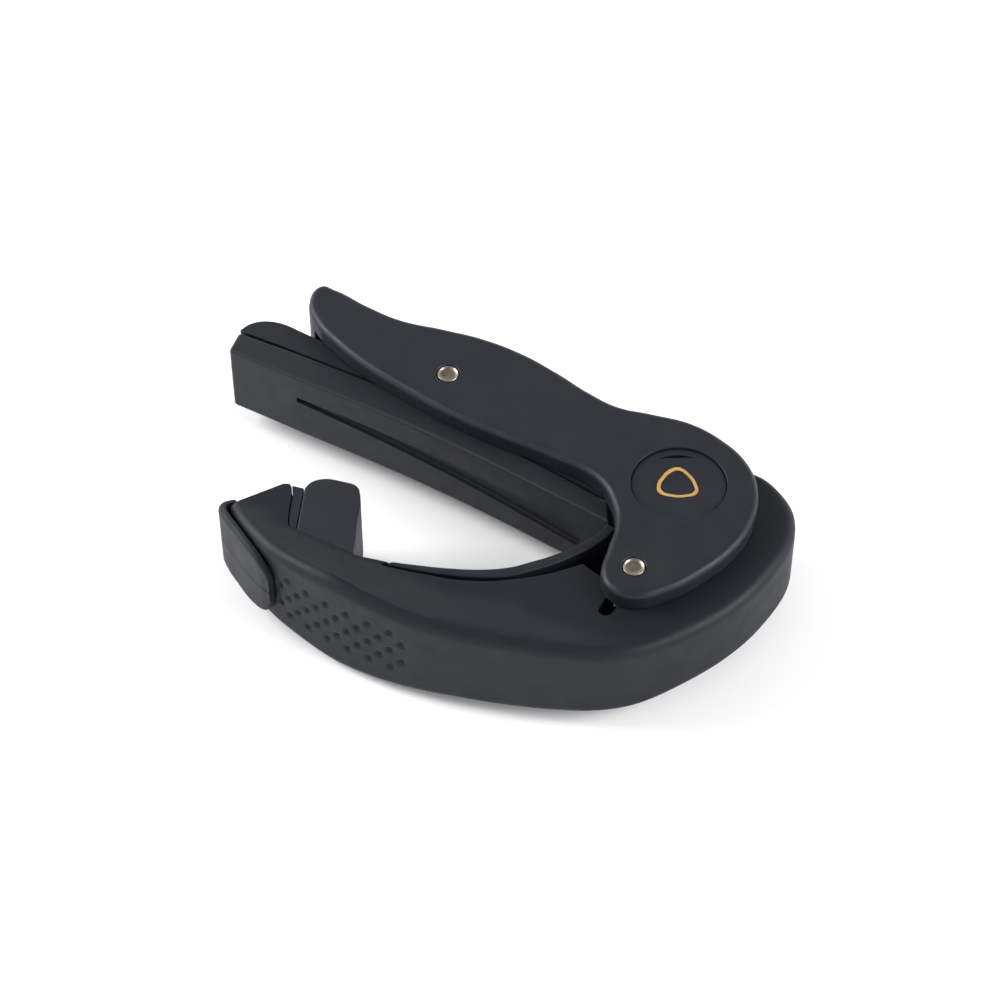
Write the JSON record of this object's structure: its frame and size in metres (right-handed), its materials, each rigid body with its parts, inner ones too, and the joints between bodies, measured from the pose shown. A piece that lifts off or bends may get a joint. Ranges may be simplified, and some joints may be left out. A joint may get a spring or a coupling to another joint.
{
  "type": "guitar capo",
  "caption": "Guitar capo: hinged curved jaw with a neck pad, a rubber-sleeved string bar that rocks in a two-cheek handle, and a ratchet in the hinge.",
  "frame": {"origin": "bottom centre of the whole capo's box, lying on its side", "axes": "+X along the string bar towards the hinge, +Y from the jaw towards the handle, +Z the thickness, up from the face it lies on"},
  "size_m": [0.1022, 0.0602, 0.0206],
  "materials": {
    "black_plastic": "satin, fine grain",
    "black_rubber": "matte",
    "nickel": "satin nickel",
    "steel": "turned",
    "spring_steel": "drawn wire",
    "bronze": "sintered",
    "gold": "printed gold"
  },
  "bodies": {
    "handle": {"handle": "black_plastic", "bar_rivet": "nickel", "pawl_rivet": "nickel", "hinge_axle": "steel", "hinge_screw": "steel", "badge_cap": "black_plastic", "badge_emblem": "gold", "plain_cap": "black_plastic", "bar_spring": "spring_steel", "pawl_spacer": "steel"},
    "jaw": {"jaw": "black_plastic", "hinge_bush_upper": "bronze", "hinge_bush_lower": "bronze", "ratchet_sector": "steel", "ratchet_dowel_left": "steel", "ratchet_dowel_right": "steel", "neck_pad": "black_rubber", "pad_clip": "black_plastic", "tip_boot": "black_rubber"},
    "string_bar": {"bar_core": "black_plastic", "string_pad": "black_rubber", "side_guard": "black_plastic", "bar_bush_upper": "bronze", "bar_bush_lower": "bronze"},
    "pawl": {"pawl": "steel", "pawl_spring": "spring_steel"}
  },
  "joints": [
    {"name": "jaw_hinge", "type": "hinge", "parent": "handle", "child": "jaw", "pos_m": [0.03058, 0.01732, 0.0103], "axis": [0, 0, 1], "range_deg": [0, 35]},
    {"name": "bar_rock", "type": "hinge", "parent": "handle", "child": "string_bar", "pos_m": [-0.01392, 0.01774, 0.0103], "axis": [0, 0, 1], "range_deg": [-0.6, 1], "stiffness_Nm_per_rad": 0.6},
    {"name": "pawl_pivot", "type": "hinge", "parent": "handle", "child": "pawl", "pos_m": [0.03338, -0.00152, 0.0103], "axis": [0, 0, 1], "range_deg": [0, 6], "stiffness_Nm_per_rad": 0.02}
  ]
}
